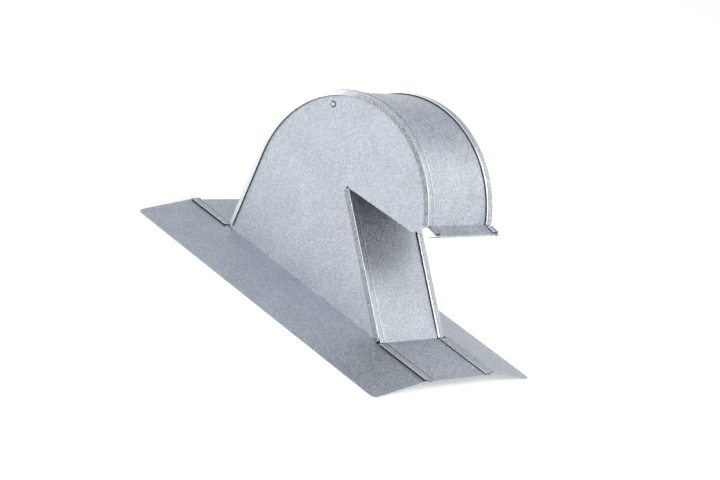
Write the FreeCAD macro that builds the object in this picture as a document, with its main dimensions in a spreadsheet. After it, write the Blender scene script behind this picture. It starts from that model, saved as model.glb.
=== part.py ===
import FreeCAD, Part
import os
import Sketcher

# Gooseneck roof vent flashing, folded from galvanised sheet steel.
#
# Two side sheets, each a cheek and a flange wing in one piece, are locked to a
# hood sheet (upper apron, back, round top, lip) and to a throat sheet (leaning
# panel, lower apron) with hammered lock seams. A flap hung on a wire inside
# closes the duct.
#
# Millimetres. X runs down the roof, from the upper apron to the lower one, Y
# across it and Z away from it. The origin lies under the middle of the flange,
# on the plane on which the outer edges of the drooping wings rest.

os.makedirs("parts", exist_ok=True)
doc = FreeCAD.newDocument("vent")

DRIVING_SIZES = [
    ("body_width", "108", "width over the outer faces of the cheeks"),
    ("base_length", "233.5", "from the back to the foot of the throat panel"),
    ("upper_apron", "61", "apron above the back"),
    ("lower_apron", "72", "apron below the throat panel"),
    ("wing_width", "80.5", "wing from cheek to outer edge, along the sheet"),
    ("wing_droop", "9.5", "spring-back of the wings below the apron, degrees"),
    ("wing_corner", "7", "radius of the wing corners"),
    ("metal", "0.55", "sheet thickness"),
    ("fold_gap", "0.1", "air between two layers in a seam"),
    ("lock_width", "9", "width of the raised seam strip"),
    ("bead_radius", "0.9", "radius of the round fold along the strip, at mid sheet"),
    ("bead_fall", "1.4", "from the top of that fold to the flat of the strip"),
    ("lock_tab", "5", "seam edge hammered over the cheek"),
    ("tab_lift", "12", "angle at which the hammered edge stands off, degrees"),
    ("tab_bend", "0.4", "bend radius of the hammered edge, at mid sheet"),
    ("tab_rise", "8", "angle at which the seam edges stand up off the wings, degrees"),
    ("lock_notch", "4", "seam cut away next to a bend"),
    ("hood_radius", "117.3", "inner radius of the round top"),
    ("hood_rise", "94", "height of the centre of the round top over the apron"),
    ("hood_end", "20", "where the round top ends, degrees above level"),
    ("lip_length", "15", "lip in front of the round top"),
    ("lip_fall", "9", "slope of the lip, degrees"),
    ("hem_length", "9.4", "return of the open hem under the lip"),
    ("hem_fall", "28.6", "slope of the return, degrees"),
    ("hem_bend", "1.2", "outer bend radius of the hem"),
    ("throat_lean", "46", "slope of the throat panel, degrees"),
    ("throat_setback", "1", "throat seam ends below the panel's top edge"),
    ("throat_length", "163", "throat panel from its foot to its top edge"),
    ("outlet_inset", "16.9", "lower front cheek corner behind the panel foot"),
    ("outlet_height", "120.2", "lower front cheek corner above the apron"),
    ("relief_hole", "3", "diameter of the corner relief holes"),
    ("relief_out", "1.6", "lower relief holes outside the cheek"),
    ("relief_on", "1.1", "lower relief holes beyond the foot of the throat panel"),
    ("hinge_depth", "12.2", "hinge wire below the inner face of the round top"),
    ("hinge_turn", "58.6", "hinge wire round the top from the back, degrees"),
    ("wire_width", "2", "diameter of the hinge wire"),
    ("wire_fit", "0.05", "radial play of the wire in its holes"),
    ("wire_head", "5", "diameter of the peened wire ends"),
    ("head_length", "1.5", "height of the domed wire ends"),
    ("head_gap", "0.3", "end play of the wire at each cheek"),
    ("flap_side_gap", "1.2", "air between flap and cheek"),
    ("flap_rest_gap", "0.4", "air between the closed flap and the throat edge"),
    ("flap_overlap", "2", "flap beyond the top edge of the throat panel"),
    ("seam_clearance", "1.5", "air between the flap and the seam ends"),
    ("foot_gap", "0.4", "air between the hammered edge and the wing"),
]

DERIVED_SIZES = [
    ("half_width", "=body_width / 2", "cheek outer face from the middle"),
    ("layer_step", "=metal + fold_gap", "from one layer to the next"),
    ("pocket_floor", "=2 * layer_step", "inner face of the caught cheek edge"),
    ("pocket_roof", "=pocket_floor + metal", "outer face of that edge"),
    ("lock_top", "=layer_step + metal + 2 * bead_radius", "top of the seam"),
    ("pocket_end", "=half_width - lock_width + metal / 2 + bead_radius", "end of that edge"),
    (
        "throat_notch",
        "=(pocket_roof + foot_gap + (lock_tab - 3 * layer_step) * cos(throat_lean)) / sin(throat_lean)",
        "seam cut away above the foot of the throat panel",
    ),
    ("wing_reach", "=wing_width * cos(wing_droop)", "wing seen from above"),
    (
        "apron_z",
        "=wing_reach * tan(wing_droop) + metal / 2 * (1 / cos(wing_droop) - 1) - pocket_floor",
        "underside of the aprons",
    ),
    ("upper_x", "=-(upper_apron + base_length + lower_apron) / 2", "upper edge"),
    ("back_x", "=upper_x + upper_apron", "inner face of the back"),
    ("front_x", "=back_x + base_length", "foot of the throat panel"),
    ("lower_x", "=front_x + lower_apron", "lower edge"),
    ("centre_x", "=back_x + hood_radius", "centre of the round top"),
    ("centre_z", "=apron_z + hood_rise", "centre of the round top"),
    ("apex_x", "=front_x - throat_length * cos(throat_lean)", "panel top edge"),
    ("apex_z", "=apron_z + throat_length * sin(throat_lean)", "panel top edge"),
    ("lip_x", "=centre_x + (hood_radius + metal) * cos(hood_end)", "lip bend"),
    ("lip_z", "=centre_z + (hood_radius + metal) * sin(hood_end)", "lip bend"),
    ("nose_x", "=lip_x + lip_length * cos(lip_fall)", "end of the lip"),
    ("nose_z", "=lip_z - lip_length * sin(lip_fall)", "end of the lip"),
    ("hem_x", "=nose_x - hem_bend * sin(lip_fall)", "centre of the hem bend"),
    ("hem_z", "=nose_z - hem_bend * cos(lip_fall)", "centre of the hem bend"),
    ("hinge_x", "=centre_x - (hood_radius - hinge_depth) * cos(hinge_turn)", "hinge wire"),
    ("hinge_z", "=centre_z + (hood_radius - hinge_depth) * sin(hinge_turn)", "hinge wire"),
    ("rest_x", "=apex_x + metal * sin(throat_lean)", "edge the flap rests on"),
    ("rest_z", "=apex_z + metal * cos(throat_lean)", "edge the flap rests on"),
    ("rest_run", "=rest_x - hinge_x", "from the hinge to that edge"),
    ("rest_drop", "=hinge_z - rest_z", "from the hinge to that edge"),
    ("rest_span", "=sqrt(rest_run ^ 2 + rest_drop ^ 2)", "from the hinge to that edge"),
    ("knuckle_in", "=wire_width / 2 + wire_fit", "inner radius of the flap's roll"),
    ("knuckle_out", "=knuckle_in + metal", "outer radius of the flap's roll"),
    (
        "flap_fall",
        "=(atan(rest_drop / rest_run) + asin((knuckle_in - flap_rest_gap) / rest_span)) / 1 deg",
        "slope of the closed flap, degrees",
    ),
    ("flap_half", "=half_width - metal - flap_side_gap", "half the flap's width"),
    ("tongue_half", "=half_width - lock_width - seam_clearance", "half of its lower end"),
    ("wire_half", "=half_width + head_gap", "half the wire, without its heads"),
    (
        "dome_radius",
        "=((wire_head / 2) ^ 2 + head_length ^ 2) / (2 * head_length)",
        "radius of the domed ends",
    ),
]

sizes = doc.addObject("Spreadsheet::Sheet", "Sizes")
for row, (alias, text, meaning) in enumerate(DRIVING_SIZES + DERIVED_SIZES, start=1):
    sizes.set(f"A{row}", meaning)
    sizes.set(f"B{row}", text)
    sizes.setAlias(f"B{row}", alias)
    # Derived rows read the rows above them.
    doc.recompute()

ALIASES = [alias for alias, text, meaning in DRIVING_SIZES + DERIVED_SIZES]
UPRIGHT = "rotation(vector(1; 0; 0); 90)"
ACROSS = "rotation(vector(1; 1; 1); 120)"
UP_THE_BACK = "rotation(vector(0; 0; 1); 90)"
LEVEL = "rotation(vector(0; 0; 1); 0)"
ALONG_X = "vector(1; 0; 0)"
ALONG_Y = "vector(0; 1; 0)"
ALONG_Z = "vector(0; 0; 1)"
DOWN_THROAT = "vector(cos(throat_lean); 0; -sin(throat_lean))"
ALONG_LIP = "vector(cos(lip_fall); 0; -sin(lip_fall))"
THROAT_SECTION = "rotation(vector(0; 1; 0); throat_lean) * " + ACROSS
LIP_SECTION = "rotation(vector(0; 1; 0); lip_fall) * " + ACROSS


def named(text):
    """Prefix every size in an expression with the name of the sheet."""
    word = ""
    out = ""
    for letter in text + " ":
        if letter.isalnum() or letter == "_":
            word += letter
            continue
        out += "Sizes." + word if word in ALIASES else word
        out += letter
        word = ""
    return out.strip()


def number(text):
    """The present value of an expression."""
    value = sizes.evalExpression(named(text))
    return float(getattr(value, "Value", value))


def bind(thing, prop, text):
    """Drive a property of an object by an expression."""
    thing.setExpression(prop, named(text))


def placed(origin, rotation):
    """A placement expression from three coordinates and a rotation."""
    return "placement(vector({}; {}; {}); {})".format(*origin, rotation)


def sketch(name, points, arcs, origin, rotation, closed):
    """A chain of lines, with an arc about its centre where arcs has the side's number.

    The end of an arc is held by its centre and radius and by one of its own
    coordinates, across or upright, whichever is named with the centre.
    """
    drawing = doc.addObject("Sketcher::SketchObject", name)
    spots = [FreeCAD.Vector(number(u), number(v), 0) for u, v in points]
    sides = len(points) if closed else len(points) - 1
    for side in range(sides):
        start = spots[side]
        end = spots[(side + 1) % len(points)]
        if side in arcs:
            centre = FreeCAD.Vector(number(arcs[side][0]), number(arcs[side][1]), 0)
            circle = Part.Circle(centre, FreeCAD.Vector(0, 0, 1), (start - centre).Length)
            # The arc runs clockwise from start to end, so it is stored from end to start.
            first = circle.parameter(end)
            last = circle.parameter(start)
            drawing.addGeometry(Part.ArcOfCircle(circle, first, last))
        else:
            drawing.addGeometry(Part.LineSegment(start, end))
    head = {side: 2 if side in arcs else 1 for side in range(sides)}
    tail = {side: 1 if side in arcs else 2 for side in range(sides)}
    for side in range(sides if closed else sides - 1):
        after = (side + 1) % sides
        drawing.addConstraint(
            Sketcher.Constraint("Coincident", side, tail[side], after, head[after])
        )
    free = {side + 1: arcs[side][2] for side in arcs}
    for corner in range(len(points)):
        side = corner if corner < sides else sides - 1
        end = head[side] if corner < sides else tail[side]
        for kind, text in zip(("DistanceX", "DistanceY"), points[corner]):
            if free.get(corner) != kind:
                hold(drawing, kind, side, end, text)
    for side in arcs:
        hold(drawing, "DistanceX", side, 3, arcs[side][0])
        hold(drawing, "DistanceY", side, 3, arcs[side][1])
    bind(drawing, "Placement", placed(origin, rotation))
    return drawing


def hold(drawing, kind, side, end, text):
    """Hold one coordinate of a sketch point at an expression."""
    index = drawing.addConstraint(
        Sketcher.Constraint(kind, -1, 1, side, end, number(text))
    )
    bind(drawing, f"Constraints[{index}]", text)


def sheet_edge(name, drawing, inward):
    """Give a drawn line the thickness of the metal: inward, or half to each side."""
    edge = doc.addObject("Part::Offset2D", name)
    edge.Source = drawing
    edge.Mode = "Skin" if inward else "Pipe"
    edge.Join = "Arc"
    edge.Fill = True
    edge.Value = -number("metal") if inward else number("metal") / 2
    bind(edge, "Value", "-metal" if inward else "metal / 2")
    return edge


def pulled(name, base, direction, forward, backward="0"):
    """A solid made by pulling a face along a direction."""
    solid = doc.addObject("Part::Extrusion", name)
    solid.Base = base
    solid.DirMode = "Custom"
    solid.Solid = True
    bind(solid, "Dir", direction)
    bind(solid, "LengthFwd", forward)
    bind(solid, "LengthRev", backward)
    return solid


def turned(name, base, centre, angle):
    """A solid made by turning a face about a line across the vent."""
    solid = doc.addObject("Part::Revolution", name)
    solid.Source = base
    solid.Axis = FreeCAD.Vector(0, 1, 0)
    solid.Solid = True
    bind(solid, "Base", "vector({}; 0; {})".format(*centre))
    bind(solid, "Angle", angle)
    return solid


def over_the_top(name, base):
    """A solid made by turning a face over the round top."""
    return turned(name, base, ("centre_x", "centre_z"), "180 - hood_end")


def mirrored(name, source):
    """The same piece on the other side of the middle."""
    copy = doc.addObject("Part::Mirroring", name)
    copy.Source = source
    copy.Normal = FreeCAD.Vector(0, 1, 0)
    return copy


def fused(name, shapes):
    """One solid from several overlapping ones."""
    union = doc.addObject("Part::MultiFuse", name)
    union.Shapes = shapes
    union.Refine = True
    return union


def cut(name, base, tool):
    """Take one shape out of another."""
    rest = doc.addObject("Part::Cut", name)
    rest.Base = base
    rest.Tool = tool
    rest.Refine = True
    return rest


def rod(name, radius, length, origin, rotation):
    """A round bar."""
    bar = doc.addObject("Part::Cylinder", name)
    bind(bar, "Radius", radius)
    bind(bar, "Height", length)
    bind(bar, "Placement", placed(origin, rotation))
    return bar


# Points of a seam, seen along it: first away from the middle, then outward
# from the inner face of the sheet.
FOLD_OUT = "half_width - layer_step - metal / 2"
SECOND = "layer_step + metal / 2"
THIRD = "3 * layer_step + metal / 2"
SEAM_PATH = [
    ("pocket_end - layer_step - 2 * metal", "metal / 2"),
    (FOLD_OUT, "metal / 2"),
    (FOLD_OUT, SECOND),
    ("pocket_end", SECOND),
    ("pocket_end", SECOND + " + 2 * bead_radius"),
    ("pocket_end + bead_fall", THIRD),
]
BEAD = ("pocket_end", SECOND + " + bead_radius", "DistanceY")
BEND_START = "half_width + fold_gap + metal / 2 - tab_bend"
HAMMERED_TAB = [
    (BEND_START, THIRD),
    (
        BEND_START + " + tab_bend * cos(tab_lift)",
        THIRD + " - tab_bend * (1 - sin(tab_lift))",
    ),
    (
        BEND_START + " + tab_bend * cos(tab_lift) + lock_tab * sin(tab_lift)",
        THIRD + " - tab_bend * (1 - sin(tab_lift)) - lock_tab * cos(tab_lift)",
    ),
]
TAB_BEND = (BEND_START, THIRD + " - tab_bend", "DistanceX")
RAISED_TAB = [
    ("half_width", THIRD),
    ("half_width + lock_tab * cos(tab_rise)", THIRD + " + lock_tab * sin(tab_rise)"),
]
NO_TAB = [(FOLD_OUT, THIRD)]
POCKET_EDGE = [
    ("pocket_end", "pocket_floor"),
    ("half_width - metal", "pocket_floor"),
    ("half_width - metal", "pocket_roof"),
    ("pocket_end", "pocket_roof"),
]


def seam_section(name, tab, origin, rotation):
    """The folded metal of a seam, cut across."""
    arcs = {3: BEAD, 6: TAB_BEND} if tab is HAMMERED_TAB else {3: BEAD}
    drawing = sketch(name + "_path", SEAM_PATH + tab, arcs, origin, rotation, False)
    return sheet_edge(name + "_section", drawing, False)


def pocket_section(name, origin, rotation):
    """The edge of the cheek that the seam holds, cut across."""
    return sketch(name + "_section", POCKET_EDGE, {}, origin, rotation, True)


ABOVE_BACK = ("back_x", "0", "apron_z + lock_notch")
AT_ARC = ("back_x", "0", "centre_z")
AT_THROAT = (
    "apex_x + throat_setback * cos(throat_lean)",
    "0",
    "apex_z - throat_setback * sin(throat_lean)",
)
AT_UPPER = ("upper_x", "0", "apron_z")
AT_LOWER = ("front_x + lock_notch", "0", "apron_z")
AT_LIP = (
    "lip_x - metal * sin(lip_fall) + lock_notch * cos(lip_fall)",
    "0",
    "lip_z - metal * cos(lip_fall) - lock_notch * sin(lip_fall)",
)
THROAT_SEAM = "throat_length - throat_setback - throat_notch"
AT_FOOT = (
    "front_x - throat_notch * cos(throat_lean)",
    "0",
    "apron_z + throat_notch * sin(throat_lean)",
)


def relief_holes(name, x, y):
    """Small holes where a bend meets both side folds."""
    radius = "relief_hole / 2"
    length = "4 * relief_hole"
    bottom = "apron_z - 2 * relief_hole"
    far = rod(name + "_far", radius, length, (x, y, bottom), LEVEL)
    near = rod(name + "_near", radius, length, (x, f"-({y})", bottom), LEVEL)
    return fused(name, [far, near])


upper_relief = relief_holes("upper_relief", "back_x - relief_hole / 2", "half_width")
lower_relief = relief_holes("lower_relief", "front_x + relief_on", "half_width + relief_out")


# Hood sheet
def hood_sheet():
    """Upper apron, back, round top, lip and open hem, with seams on both edges."""
    outline = [
        ("upper_x", "apron_z + metal"),
        ("back_x - metal", "apron_z + metal"),
        ("back_x - metal", "centre_z"),
        ("lip_x", "lip_z"),
        ("nose_x", "nose_z"),
        ("hem_x + hem_bend * sin(hem_fall)", "hem_z - hem_bend * cos(hem_fall)"),
        (
            "hem_x + hem_bend * sin(hem_fall) - hem_length * cos(hem_fall)",
            "hem_z - hem_bend * cos(hem_fall) - hem_length * sin(hem_fall)",
        ),
    ]
    arcs = {
        2: ("centre_x", "centre_z", "DistanceX"),
        4: ("hem_x", "hem_z", "DistanceY"),
    }
    side_view = sketch("hood_outline", outline, arcs, ("0", "0", "0"), UPRIGHT, False)
    web = pulled("hood_web", sheet_edge("hood_edge", side_view, True), ALONG_Y, FOLD_OUT, FOLD_OUT)
    apron = seam_section("upper_seam", RAISED_TAB, AT_UPPER, ACROSS)
    back = seam_section("back_seam", HAMMERED_TAB, ABOVE_BACK, UP_THE_BACK)
    top = seam_section("top_seam", HAMMERED_TAB, AT_ARC, UP_THE_BACK)
    lip = seam_section("lip_seam", NO_TAB, AT_LIP, LIP_SECTION)
    seams = [
        pulled("upper_lock", apron, ALONG_X, "upper_apron - lock_notch"),
        pulled("back_lock", back, ALONG_Z, "hood_rise - lock_notch"),
        over_the_top("top_lock", top),
        pulled("lip_lock", lip, ALONG_LIP, "lip_length - lock_notch - hem_bend"),
    ]
    mirror = [mirrored(seam.Name + "_near", seam) for seam in seams]
    whole = fused("hood_whole", [web] + seams + mirror)
    return cut("hood_sheet", whole, upper_relief)


# Throat sheet
def throat_sheet():
    """Leaning panel and lower apron, with seams on both edges."""
    foot = "metal * tan(throat_lean / 2)"
    outline = [
        ("apex_x + metal * sin(throat_lean)", "apex_z + metal * cos(throat_lean)"),
        ("front_x + " + foot, "apron_z + metal"),
        ("lower_x", "apron_z + metal"),
    ]
    side_view = sketch("throat_outline", outline, {}, ("0", "0", "0"), UPRIGHT, False)
    edge = sheet_edge("throat_edge", side_view, True)
    web = pulled("throat_web", edge, ALONG_Y, FOLD_OUT, FOLD_OUT)
    panel = seam_section("throat_seam", HAMMERED_TAB, AT_THROAT, THROAT_SECTION)
    foot_end = seam_section("foot_seam", NO_TAB, AT_FOOT, THROAT_SECTION)
    apron = seam_section("lower_seam", RAISED_TAB, AT_LOWER, ACROSS)
    seams = [
        pulled("throat_lock", panel, DOWN_THROAT, THROAT_SEAM),
        pulled("foot_lock", foot_end, DOWN_THROAT, "throat_notch"),
        pulled("lower_lock", apron, ALONG_X, "lower_apron - lock_notch"),
    ]
    mirror = [mirrored(seam.Name + "_near", seam) for seam in seams]
    return fused("throat_sheet", [web] + seams + mirror)


# Side sheets
def cheek_plate():
    """The flat cheek, up to the outer face of its caught edge."""
    rise = "(pocket_floor - pocket_roof * cos(throat_lean)) / sin(throat_lean)"
    outline = [
        ("back_x - pocket_roof", "apron_z + pocket_floor"),
        ("back_x - pocket_roof", "centre_z"),
        (
            "centre_x + (hood_radius + pocket_roof) * cos(hood_end)",
            "centre_z + (hood_radius + pocket_roof) * sin(hood_end)",
        ),
        ("front_x - outlet_inset", "apron_z + outlet_height"),
        (
            "apex_x + pocket_roof * sin(throat_lean)",
            "apex_z + pocket_roof * cos(throat_lean)",
        ),
        (
            "front_x + pocket_roof * sin(throat_lean) - " + rise + " * cos(throat_lean)",
            "apron_z + pocket_floor",
        ),
    ]
    arcs = {1: ("centre_x", "centre_z", "DistanceX")}
    place = ("0", "half_width", "0")
    face = sketch("cheek_outline", outline, arcs, place, UPRIGHT, True)
    return pulled("cheek_plate", face, "vector(0; -1; 0)", "metal")


def caught_edges():
    """The edge of the cheek bent inward along the back, the top and the throat."""
    back = pocket_section("back_pocket", ABOVE_BACK, UP_THE_BACK)
    top = pocket_section("top_pocket", AT_ARC, UP_THE_BACK)
    throat = pocket_section("throat_pocket", AT_THROAT, THROAT_SECTION)
    return [
        pulled("back_caught", back, ALONG_Z, "hood_rise - lock_notch"),
        over_the_top("top_caught", top),
        pulled("throat_caught", throat, DOWN_THROAT, THROAT_SEAM),
    ]


def wing():
    """The flange wing, flat in the apron seams and drooping beyond the cheek."""
    spare = "wing_corner"
    path = [
        ("pocket_end - " + spare, "pocket_floor + metal / 2"),
        ("half_width", "pocket_floor + metal / 2"),
        (
            "half_width + (wing_width + " + spare + ") * cos(wing_droop)",
            "pocket_floor + metal / 2 - (wing_width + " + spare + ") * sin(wing_droop)",
        ),
    ]
    drawing = sketch("wing_path", path, {}, AT_UPPER, ACROSS, False)
    section = sheet_edge("wing_section", drawing, False)
    strip = pulled("wing_strip", section, ALONG_X, "lower_x - upper_x")
    outer = "half_width + wing_reach"
    plan = [
        ("upper_x", "pocket_end"),
        ("upper_x", outer + " - wing_corner"),
        ("upper_x + wing_corner", outer),
        ("lower_x - wing_corner", outer),
        ("lower_x", outer + " - wing_corner"),
        ("lower_x", "pocket_end"),
        ("front_x + lock_notch", "pocket_end"),
        ("front_x + lock_notch", "half_width - metal"),
        ("back_x - lock_notch", "half_width - metal"),
        ("back_x - lock_notch", "pocket_end"),
    ]
    arcs = {
        1: ("upper_x + wing_corner", outer + " - wing_corner", "DistanceY"),
        3: ("lower_x - wing_corner", outer + " - wing_corner", "DistanceX"),
    }
    below = ("0", "0", "apron_z - wing_width")
    drawn = sketch("wing_plan", plan, arcs, below, LEVEL, True)
    block = pulled("wing_block", drawn, ALONG_Z, "2 * wing_width")
    trimmed = doc.addObject("Part::MultiCommon", "wing")
    trimmed.Shapes = [strip, block]
    return trimmed


def side_sheet():
    """Cheek, caught edges and wing in one sheet, with its holes, on the far side."""
    whole = fused("side_whole", [cheek_plate()] + caught_edges() + [wing()])
    hole = rod(
        "wire_hole",
        "knuckle_in",
        "4 * metal",
        ("hinge_x", "half_width + metal", "hinge_z"),
        UPRIGHT,
    )
    apex = rod(
        "apex_hole",
        "relief_hole / 2",
        "4 * metal",
        ("apex_x + layer_step * sin(throat_lean)", "half_width + metal", "apex_z + layer_step"),
        UPRIGHT,
    )
    holes = fused("side_holes", [upper_relief, lower_relief, apex, hole])
    return cut("far_side_sheet", whole, holes)


# Flap and hinge wire
def damper_flap():
    """A light sheet flap, rolled round the wire along its upper edge."""
    tilt = "rotation(vector(0; 1; 0); flap_fall)"
    at_hinge = ("hinge_x", "0", "hinge_z")
    shoulder = "rest_span - lock_top - seam_clearance"
    tip = "rest_span + flap_overlap"
    outline = [
        ("0", "-flap_half"),
        ("0", "flap_half"),
        (shoulder, "flap_half"),
        (shoulder, "tongue_half"),
        (tip, "tongue_half"),
        (tip, "-tongue_half"),
        (shoulder, "-tongue_half"),
        (shoulder, "-flap_half"),
    ]
    face = sketch("flap_outline", outline, {}, at_hinge, tilt, True)
    normal = "vector(sin(flap_fall); 0; cos(flap_fall))"
    plate = pulled("flap_plate", face, normal, "knuckle_out", "-knuckle_in")
    start = ("hinge_x", "flap_half", "hinge_z")
    ring = rod("flap_roll", "knuckle_out", "2 * flap_half", start, UPRIGHT)
    body = fused("flap_body", [plate, ring])
    bore = rod("flap_bore", "knuckle_in", "2 * flap_half", start, UPRIGHT)
    return cut("damper_flap", body, bore)


def hinge_wire():
    """The wire on which the flap hangs, with domed heads outside both cheeks."""
    tip = "(wire_half + head_length)"
    outline = [
        ("-" + tip, "0"),
        ("-wire_half", "wire_head / 2"),
        ("-wire_half", "wire_width / 2"),
        ("wire_half", "wire_width / 2"),
        ("wire_half", "wire_head / 2"),
        (tip, "0"),
    ]
    arcs = {
        0: ("dome_radius - " + tip, "0", "DistanceY"),
        4: (tip + " - dome_radius", "0", "DistanceX"),
    }
    at_hinge = ("hinge_x", "0", "hinge_z")
    half = sketch("wire_outline", outline, arcs, at_hinge, ACROSS, True)
    return turned("damper_hinge_wire", half, ("hinge_x", "hinge_z"), "360")


far_side = side_sheet()
NODES = [
    hood_sheet(),
    throat_sheet(),
    far_side,
    mirrored("near_side_sheet", far_side),
    damper_flap(),
    hinge_wire(),
]
doc.recompute()

for thing in doc.Objects:
    faults = [state for state in thing.State if state in ("Invalid", "Error")]
    if faults:
        raise SystemExit(f"{thing.Name} failed: {thing.State}")

for node in NODES:
    node.Label = node.Name
    shape = node.Shape
    if shape.isNull() or not shape.isValid():
        raise SystemExit(f"{node.Label} has no valid shape")
    if len(shape.Solids) != 1:
        raise SystemExit(f"{node.Label} is {len(shape.Solids)} solids")
    shape.exportStep(f"parts/{node.Label}.step")
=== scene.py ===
import math

import bpy
from mathutils import Matrix, Vector

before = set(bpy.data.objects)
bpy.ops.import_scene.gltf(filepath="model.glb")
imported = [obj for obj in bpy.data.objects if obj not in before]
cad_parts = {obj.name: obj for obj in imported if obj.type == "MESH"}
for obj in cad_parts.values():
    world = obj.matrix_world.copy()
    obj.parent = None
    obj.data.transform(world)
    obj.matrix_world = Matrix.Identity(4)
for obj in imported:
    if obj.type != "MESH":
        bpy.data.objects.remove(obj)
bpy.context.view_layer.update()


# Shader helpers
def node(tree, kind, **settings):
    """A shader node with its settings and the plain values of its inputs."""
    made = tree.nodes.new(kind)
    for name, value in settings.items():
        if name in made.inputs:
            made.inputs[name].default_value = value
        else:
            setattr(made, name, value)
    return made


def feed(tree, socket, value):
    """Give a socket the output of another node, or a plain value."""
    if isinstance(value, bpy.types.NodeSocket):
        tree.links.new(value, socket)
    else:
        socket.default_value = value


def calc(tree, operation, *values):
    """The result of one step of arithmetic on grey values."""
    step = node(tree, "ShaderNodeMath", operation=operation)
    for socket, value in zip(step.inputs, values):
        feed(tree, socket, value)
    return step.outputs[0]


def vector_calc(tree, operation, *values):
    """The vector, or for two of the operations the number, that one vector step gives."""
    step = node(tree, "ShaderNodeVectorMath", operation=operation)
    for socket, value in zip(step.inputs, values):
        feed(tree, socket, value)
    return step.outputs["Value" if operation in ("DOT_PRODUCT", "DISTANCE") else "Vector"]


def ramp(tree, source, stops, kind="SMOOTHSTEP"):
    """A level that goes with a grey value, from two pairs of value and level."""
    (low_at, low), (high_at, high) = stops
    span = {"From Min": low_at, "From Max": high_at, "To Min": low, "To Max": high}
    made = node(tree, "ShaderNodeMapRange", interpolation_type=kind, **span)
    feed(tree, made.inputs["Value"], source)
    return made.outputs["Result"]


def band(tree, source, edges):
    """One between the middle two of four values, and nothing outside the outer two."""
    start, rise, fall, end = edges
    up = ramp(tree, source, [(start, 0.0), (rise, 1.0)])
    down = ramp(tree, source, [(fall, 1.0), (end, 0.0)])
    return calc(tree, "MULTIPLY", up, down)


def mix(tree, kind, first, second, share):
    """Two colours (RGBA) or two grey values (FLOAT) mixed, by the share of the second."""
    made = node(tree, "ShaderNodeMix", data_type=kind)
    for name, value in (("A", first), ("B", second), ("Factor", share)):
        feed(tree, made.inputs[name], value)
    return made.outputs["Result"]


def coordinate(tree, output):
    """One of the outputs of a texture coordinate node."""
    return node(tree, "ShaderNodeTexCoord").outputs[output]


def part_of(tree, vector, axis):
    """One component of a vector."""
    axes = node(tree, "ShaderNodeSeparateXYZ")
    feed(tree, axes.inputs[0], vector)
    return axes.outputs[axis]


def size_of(tree, vector, axis):
    """The size of one component of a vector, without its sign."""
    return calc(tree, "ABSOLUTE", part_of(tree, vector, axis))


def texture(tree, kind, output, place, size, **settings):
    """One output of a solid texture whose grains have a given size in metres."""
    made = node(tree, kind, Scale=1 / size, **settings)
    feed(tree, made.inputs["Vector"], place)
    return made.outputs[output]


def blank_material(name):
    """A material with a principled shader and nothing else."""
    material = bpy.data.materials.new(name)
    material.use_nodes = True
    return material, material.node_tree, material.node_tree.nodes["Principled BSDF"]


def middle(thing):
    """The middle of an object's box."""
    corners = [thing.matrix_world @ Vector(corner) for corner in thing.bound_box]
    return sum(corners, Vector()) / len(corners)


# Galvanised sheet: lengths are in metres, and stops are pairs of value and level
PLAIN_ZINC = {
    "dark": (0.385, 0.415, 0.46, 1),
    "light": (0.665, 0.715, 0.775, 1),
    "tilt": 0.16,
}
FOLDED_ZINC = {
    "dark": (0.31, 0.335, 0.375, 1),
    "light": (0.735, 0.785, 0.85, 1),
    "tilt": 0.2,
}
SPANGLE_SIZE = 0.0009
GRAIN_SIZE = 0.0007
CLOUD_SIZE = 0.030
CRYSTAL_TONE = [(0.15, 0.0), (0.85, 0.75)]
SPECK_TONE = [(0.35, 0.0), (0.65, 0.15)]
CLOUD_TONE = [(0.35, 0.0), (0.65, 0.1)]
SHEET_ROUGHNESS = [(0.0, 0.48), (1.0, 0.60)]
GRAIN_STRENGTH = 0.1
GRAIN_HEIGHT = 0.0001

# Painted shade in narrow gaps, and painted shade on the inner faces of the body
PAINTED_SHADE_COLOUR = (0.10, 0.107, 0.118, 1)
GAP_SHADE_REACH = 0.0026
GAP_SHADE_SHARE = [(0.22, 1.0), (0.56, 0.0)]
GAP_SHADE_SAMPLES = 8
INSIDE_SHADE_COLOUR = (0.06, 0.065, 0.07, 1)
INSIDE_FACING = [(-0.004, 0.8), (-0.001, 0.0)]
INSIDE_ABOVE = [(0.014, 0.0), (0.022, 1.0)]
INSIDE_BEHIND = [(0.105, 1.0), (0.108, 0.0)]

# Painted shade on the side sheets: a shadow round the wire's end and dark discs round the
# lower relief holes
WIRE_SHADOW_REACH = [(0.0027, 0.95), (0.0042, 0.0)]
HOLE_SHADE_REACH = [(0.0026, 0.95), (0.0032, 0.0)]
HOLE_SHADE_COLOUR = (0.015, 0.016, 0.018, 1)
LOWER_HOLE = (0.11235, 0.0556)
SEEN_ALONG_Y = (1, 0, 1)
SEEN_ALONG_Z = (1, 1, 0)

# Painted highlights and painted shade on the seams, placed by X down the roof and by the
# distance in Y from the middle
HIGHLIGHT_COLOUR = (0.80, 0.83, 0.86, 1)
FOLD_HIGHLIGHT_ROUGHNESS = 0.24
FOLD_HIGHLIGHT_PATCHES = [(0.3, 1.0), (0.7, 0.8)]
CORNER_FACING = (0.42, 0.5, 0.88, 0.95)
BEAD_AT = (0.0447, 0.0449, 0.0460, 0.0462)
CREASE_SHADE_COLOUR = (0.20, 0.215, 0.24, 1)
CREASE_AT = (0.0469, 0.0472, 0.0477, 0.0481)
CREASE_PATCHES = [(0.3, 0.6), (0.7, 0.95)]
EDGE_FACING = [(0.955, 0.0), (0.975, 1.0)]
EDGE_ROUGHNESS = 0.40
TAB_HIGHLIGHT_ALONG = [(-0.08, 0.88), (-0.02, 0.0)]
TAB_SHADE_ALONG = [(-0.075, 0.1), (-0.01, 1.0)]
TAB_SHADE_COLOUR = (0.22, 0.235, 0.26, 1)
PATCH_SIZE = 0.0016
TAB_SHADE_PATCHES = [(0.35, 0.9), (0.62, 0.4)]
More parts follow.
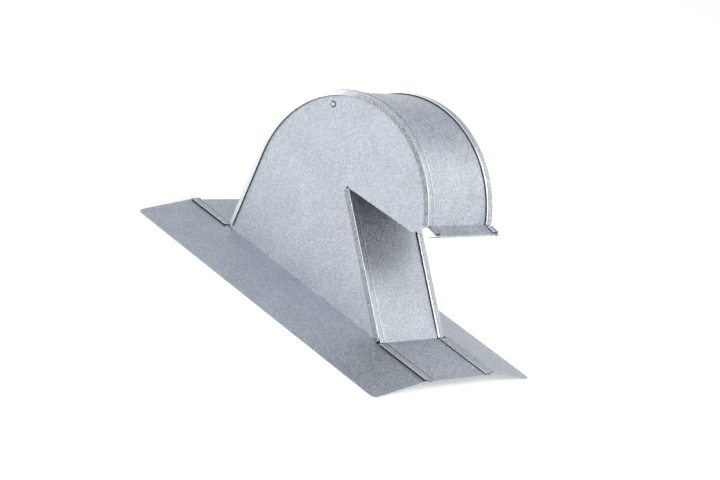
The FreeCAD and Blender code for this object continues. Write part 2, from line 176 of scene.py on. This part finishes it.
CUT_END_FACING = [(0.95, 0.0), (0.99, 0.9)]
CUT_END_AT = [(0.0440, 0.0), (0.0444, 1.0)]


def with_gap_shade(tree, colour):
    """A colour with painted shade in narrow gaps, darkened by ambient occlusion."""
    nook = node(
        tree, "ShaderNodeAmbientOcclusion", samples=GAP_SHADE_SAMPLES, Distance=GAP_SHADE_REACH
    )
    share = ramp(tree, nook.outputs["AO"], GAP_SHADE_SHARE)
    return mix(tree, "RGBA", colour, PAINTED_SHADE_COLOUR, share)


def shade_inside(tree, colour, place):
    """A colour with painted shade on the inner faces, above the flange and behind the lip."""
    outward = vector_calc(tree, "DOT_PRODUCT", place, coordinate(tree, "Normal"))
    inward = ramp(tree, outward, INSIDE_FACING)
    above = ramp(tree, part_of(tree, place, "Z"), INSIDE_ABOVE)
    behind = ramp(tree, part_of(tree, place, "X"), INSIDE_BEHIND)
    share = calc(tree, "MULTIPLY", inward, calc(tree, "MULTIPLY", above, behind))
    return mix(tree, "RGBA", colour, INSIDE_SHADE_COLOUR, share)


def shaded_round(tree, colour, shade_colour, place, seen, centre, reach):
    """A colour with a dark disc of painted shade round a centre, as seen along one axis."""
    flat = vector_calc(tree, "MULTIPLY", place, seen)
    away = vector_calc(tree, "DISTANCE", flat, centre)
    return mix(tree, "RGBA", colour, shade_colour, ramp(tree, away, reach))


def side_shade(tree, colour, rough, place):
    """Painted shade: a dark disc of shadow round the wire's end, and black discs round the
    lower relief holes, which show the shade under the flange.
    """
    wire = middle(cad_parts["damper_hinge_wire"])
    x, y = LOWER_HOLE
    shade_marks = [
        (PAINTED_SHADE_COLOUR, SEEN_ALONG_Y, (wire.x, 0, wire.z), WIRE_SHADOW_REACH),
        (HOLE_SHADE_COLOUR, SEEN_ALONG_Z, (x, -y, 0), HOLE_SHADE_REACH),
        (HOLE_SHADE_COLOUR, SEEN_ALONG_Z, (x, y, 0), HOLE_SHADE_REACH),
    ]
    for shade_colour, seen, centre, reach in shade_marks:
        colour = shaded_round(tree, colour, shade_colour, place, seen, centre, reach)
    return colour, rough


def seam_light_and_shade(tree, colour, rough, place):
    """Painted highlights on the folds and on the tab up the roof, painted shade in the crease,
    on the cut ends and in patches on the tab down the roof, with smoother folds and a rougher
    tab.
    """
    normal = coordinate(tree, "Normal")
    facing = size_of(tree, normal, "Y")
    beside = size_of(tree, place, "Y")
    down_roof = part_of(tree, place, "X")
    uneven = texture(tree, "ShaderNodeTexNoise", "Fac", place, PATCH_SIZE, Detail=3.0)

    corner = band(tree, facing, CORNER_FACING)
    folds = calc(tree, "MAXIMUM", corner, band(tree, beside, BEAD_AT))
    fold_highlight = calc(tree, "MULTIPLY", folds, ramp(tree, uneven, FOLD_HIGHLIGHT_PATCHES))
    # Painted shade in the crease.
    crease = calc(
        tree, "MULTIPLY", band(tree, beside, CREASE_AT), ramp(tree, uneven, CREASE_PATCHES)
    )
    edge = ramp(tree, facing, EDGE_FACING)
    # Painted highlight on the tab's faces up the roof.
    tab_highlight = calc(tree, "MULTIPLY", edge, ramp(tree, down_roof, TAB_HIGHLIGHT_ALONG))
    # Painted shade in patches on the tab's faces down the roof.
    lower_tab = calc(tree, "MULTIPLY", edge, ramp(tree, down_roof, TAB_SHADE_ALONG))
    tab_shade = calc(tree, "MULTIPLY", lower_tab, ramp(tree, uneven, TAB_SHADE_PATCHES))
    # Painted shade on the seams' end faces down the roof, for the dark inside of their open
    # folds.
    lower_end = ramp(tree, part_of(tree, normal, "X"), CUT_END_FACING)
    cut_end = calc(tree, "MULTIPLY", lower_end, ramp(tree, beside, CUT_END_AT))

    # Painted highlights on the tab up the roof and on the folds, and painted shade on the tab
    # down the roof, on the cut ends and in the crease.
    for tint, share in (
        (HIGHLIGHT_COLOUR, tab_highlight),
        (TAB_SHADE_COLOUR, tab_shade),
        (PAINTED_SHADE_COLOUR, cut_end),
        (CREASE_SHADE_COLOUR, crease),
        (HIGHLIGHT_COLOUR, fold_highlight),
    ):
        colour = mix(tree, "RGBA", colour, tint, share)
    for level, share in ((EDGE_ROUGHNESS, edge), (FOLD_HIGHLIGHT_ROUGHNESS, fold_highlight)):
        rough = mix(tree, "FLOAT", rough, level, share)
    return colour, rough


def crystal_normal(tree, odd, grain, tilt):
    """The surface's normal, tilted by each crystal's odd colour and roughened by the grain."""
    centred = vector_calc(tree, "SUBTRACT", odd, (0.5, 0.5, 0.5))
    lean = vector_calc(tree, "MULTIPLY", centred, (tilt, tilt, tilt))
    surface = node(tree, "ShaderNodeNewGeometry").outputs["Normal"]
    facet = vector_calc(tree, "NORMALIZE", vector_calc(tree, "ADD", surface, lean))
    bump = node(tree, "ShaderNodeBump", Strength=GRAIN_STRENGTH, Distance=GRAIN_HEIGHT)
    feed(tree, bump.inputs["Height"], grain)
    feed(tree, bump.inputs["Normal"], facet)
    return bump.outputs["Normal"]


def galvanised(name, zinc, painted_light):
    """Zinc-coated sheet: fine spangle whose crystals lie at odd angles, and faint clouds."""
    material, tree, shader = blank_material(name)
    place = coordinate(tree, "Object")
    odd = texture(tree, "ShaderNodeTexVoronoi", "Color", place, SPANGLE_SIZE)
    grain = texture(tree, "ShaderNodeTexNoise", "Fac", place, GRAIN_SIZE, Detail=2.0)
    cloud = texture(tree, "ShaderNodeTexNoise", "Fac", place, CLOUD_SIZE, Detail=3.0)
    grey = node(tree, "ShaderNodeRGBToBW")
    feed(tree, grey.inputs["Color"], odd)
    crystal = grey.outputs["Val"]

    speckled = calc(
        tree, "ADD", ramp(tree, crystal, CRYSTAL_TONE), ramp(tree, grain, SPECK_TONE)
    )
    tone = calc(tree, "ADD", speckled, ramp(tree, cloud, CLOUD_TONE))
    colour = mix(tree, "RGBA", zinc["dark"], zinc["light"], tone)
    # Painted highlights and shade of each kind of sheet, and its roughness.
    colour, rough = painted_light(tree, colour, ramp(tree, crystal, SHEET_ROUGHNESS), place)
    # Painted shade on the inner faces and in narrow gaps.
    colour = with_gap_shade(tree, shade_inside(tree, colour, place))

    feed(tree, shader.inputs["Base Color"], colour)
    feed(tree, shader.inputs["Roughness"], rough)
    feed(tree, shader.inputs["Normal"], crystal_normal(tree, odd, grain, zinc["tilt"]))
    shader.inputs["Metallic"].default_value = 1.0
    return material


# Hinge wire
WIRE_COLOUR = (0.62, 0.62, 0.63, 1)
WIRE_LINES = (3.0, 0.2, 3.0)
WIRE_ROUGHNESS = [(0.3, 0.22), (0.7, 0.34)]
WIRE_RIM_SHADE = [(0.0545, 0.9), (0.0551, 0.0)]


def drawn_wire():
    """Dull steel wire with fine drawing lines along it, and painted shade on its end where it
    meets the cheek.
    """
    material, tree, shader = blank_material("drawn_wire")
    place = coordinate(tree, "Object")
    stretch = node(tree, "ShaderNodeMapping", Scale=WIRE_LINES)
    feed(tree, stretch.inputs["Vector"], place)
    along = stretch.outputs["Vector"]
    lines = texture(tree, "ShaderNodeTexNoise", "Fac", along, GRAIN_SIZE, Detail=2.0)
    # Painted shade on the wire's end next to the cheek.
    rim = ramp(tree, size_of(tree, place, "Y"), WIRE_RIM_SHADE)
    feed(tree, shader.inputs["Base Color"], mix(tree, "RGBA", WIRE_COLOUR, PAINTED_SHADE_COLOUR, rim))
    feed(tree, shader.inputs["Roughness"], ramp(tree, lines, WIRE_ROUGHNESS))
    shader.inputs["Metallic"].default_value = 1.0
    return material


def dress(names, material):
    """Give CAD nodes one material."""
    for name in names:
        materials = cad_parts[name].data.materials
        materials.clear()
        materials.append(material)


dress(
    ("near_side_sheet", "far_side_sheet", "damper_flap"),
    galvanised("galvanised_sheet", PLAIN_ZINC, side_shade),
)
dress(
    ("hood_sheet", "throat_sheet"),
    galvanised("galvanised_sheet_with_seams", FOLDED_ZINC, seam_light_and_shade),
)
dress(("damper_hinge_wire",), drawn_wire())


# Floor, whose lift to white stops at the flange so that the shade under it stays
FLOOR_HALF = 8.0
FLOOR_COLOUR = (0.82, 0.82, 0.82, 1)
FLOOR_LIFT = 0.28
SHADE_HALF = {"X": 0.17, "Y": 0.12}
SHADE_EDGE = 0.04


def beyond_flange(tree):
    """One on the floor outside the flange's outline, and nothing well inside it."""
    place = coordinate(tree, "Object")
    edges = [
        ramp(tree, size_of(tree, place, axis), [(half - SHADE_EDGE, 0.0), (half, 1.0)])
        for axis, half in SHADE_HALF.items()
    ]
    return calc(tree, "MAXIMUM", *edges)


def floor():
    """A plain pale floor under the vent that shows white and keeps the shadow."""
    mesh = bpy.data.meshes.new("floor")
    signs = [(-1, -1), (1, -1), (1, 1), (-1, 1)]
    corners = [(x * FLOOR_HALF, y * FLOOR_HALF, 0) for x, y in signs]
    mesh.from_pydata(corners, [], [(0, 1, 2, 3)])
    ground = bpy.data.objects.new("floor", mesh)
    bpy.context.scene.collection.objects.link(ground)

    material, tree, shader = blank_material("floor_white")
    shader.inputs["Base Color"].default_value = FLOOR_COLOUR
    shader.inputs["Roughness"].default_value = 1.0
    shader.inputs["Specular IOR Level"].default_value = 0.0
    path = node(tree, "ShaderNodeLightPath").outputs
    seen = path["Is Camera Ray"]
    for kind in ("Is Glossy Ray", "Is Transmission Ray"):
        seen = calc(tree, "MAXIMUM", seen, path[kind])
    glow = node(tree, "ShaderNodeEmission")
    lift = calc(tree, "MULTIPLY", beyond_flange(tree), FLOOR_LIFT)
    feed(tree, glow.inputs["Strength"], lift)
    none = node(tree, "ShaderNodeEmission", Strength=0.0)
    pick = node(tree, "ShaderNodeMixShader")
    total = node(tree, "ShaderNodeAddShader")
    for socket, value in (
        (pick.inputs[0], seen),
        (pick.inputs[1], none.outputs[0]),
        (pick.inputs[2], glow.outputs[0]),
        (total.inputs[0], shader.outputs[0]),
        (total.inputs[1], pick.outputs[0]),
        (tree.nodes["Material Output"].inputs["Surface"], total.outputs[0]),
    ):
        feed(tree, socket, value)
    mesh.materials.append(material)


floor()


# Light
DARK_SIDE = Vector((0.05, 0.46, 0.88)).normalized()
DARK_SPREAD = math.radians(72)
DARK_LEVEL = 0.17
BRIGHT_LEVEL = 1.1
DARK_COLOUR = (0.95, 1.0, 1.14, 1)
BRIGHT_COLOUR = (1.02, 1.0, 0.985, 1)
BODY_MIDDLE = Vector((0, 0, 0.1))
WHITE = (1.0, 1.0, 1.0)
WARM_WHITE = (1.0, 0.96, 0.90)
# Name, place, width, radiance and colour
SOFTBOXES = [
    ("front", (1.45, -1.5, 1.25), 1.1, 2.5, WHITE),
    ("above", (1.25, 0.75, 1.93), 1.0, 6.5, WARM_WHITE),
    ("left", (-2.2, -1.4, 0.25), 0.8, 3.0, WHITE),
]


def soft_world():
    """A soft white room with a dim ceiling that is a little cooler than its walls."""
    world = bpy.data.worlds.new("soft_room")
    bpy.context.scene.world = world
    world.use_nodes = True
    tree = world.node_tree
    sky = tree.nodes["Background"]
    facing = vector_calc(tree, "DOT_PRODUCT", coordinate(tree, "Generated"), DARK_SIDE)
    turn = calc(tree, "ARCCOSINE", facing)
    share = ramp(tree, turn, [(0.0, 0.0), (DARK_SPREAD, 1.0)], "LINEAR")
    level = ramp(tree, share, [(0.0, DARK_LEVEL), (1.0, BRIGHT_LEVEL)], "LINEAR")
    feed(tree, sky.inputs["Strength"], level)
    feed(tree, sky.inputs["Color"], mix(tree, "RGBA", DARK_COLOUR, BRIGHT_COLOUR, share))


def softbox(name, place, width, radiance, colour):
    """A square area lamp of a given brightness that looks at the middle of the body."""
    lamp = bpy.data.lights.new(name, "AREA")
    lamp.color = colour
    lamp.shape = "SQUARE"
    lamp.size = width
    lamp.energy = radiance * math.pi * width**2
    box = bpy.data.objects.new(name, lamp)
    bpy.context.scene.collection.objects.link(box)
    box.location = place
    box.rotation_euler = (BODY_MIDDLE - Vector(place)).to_track_quat("-Z", "Y").to_euler()


soft_world()
for settings in SOFTBOXES:
    softbox(*settings)


# Camera, solved from points of the photograph
AZIMUTH = math.radians(34.4603)
ELEVATION = math.radians(19.3725)
ROLL = math.radians(23.8447)
DISTANCE = 2.285
LENS = 108.72
AIM = Vector((0.0020, 0.0, 0.0686))


def camera():
    """The photograph's camera, rolled, because the vent is shown as on a roof."""
    data = bpy.data.cameras.new("camera")
    data.lens = LENS
    eye = bpy.data.objects.new("camera", data)
    bpy.context.scene.collection.objects.link(eye)
    back = Vector(
        (
            math.sin(AZIMUTH) * math.cos(ELEVATION),
            -math.cos(AZIMUTH) * math.cos(ELEVATION),
            math.sin(ELEVATION),
        )
    )
    right = Vector((0, 0, 1)).cross(back).normalized()
    up = back.cross(right)
    across = math.cos(ROLL) * right + math.sin(ROLL) * up
    upright = math.cos(ROLL) * up - math.sin(ROLL) * right
    turn = Matrix((across, upright, back)).transposed().to_4x4()
    eye.matrix_world = Matrix.Translation(AIM + back * DISTANCE) @ turn
    bpy.context.scene.camera = eye


camera()
bpy.context.scene.view_settings.view_transform = "Standard"
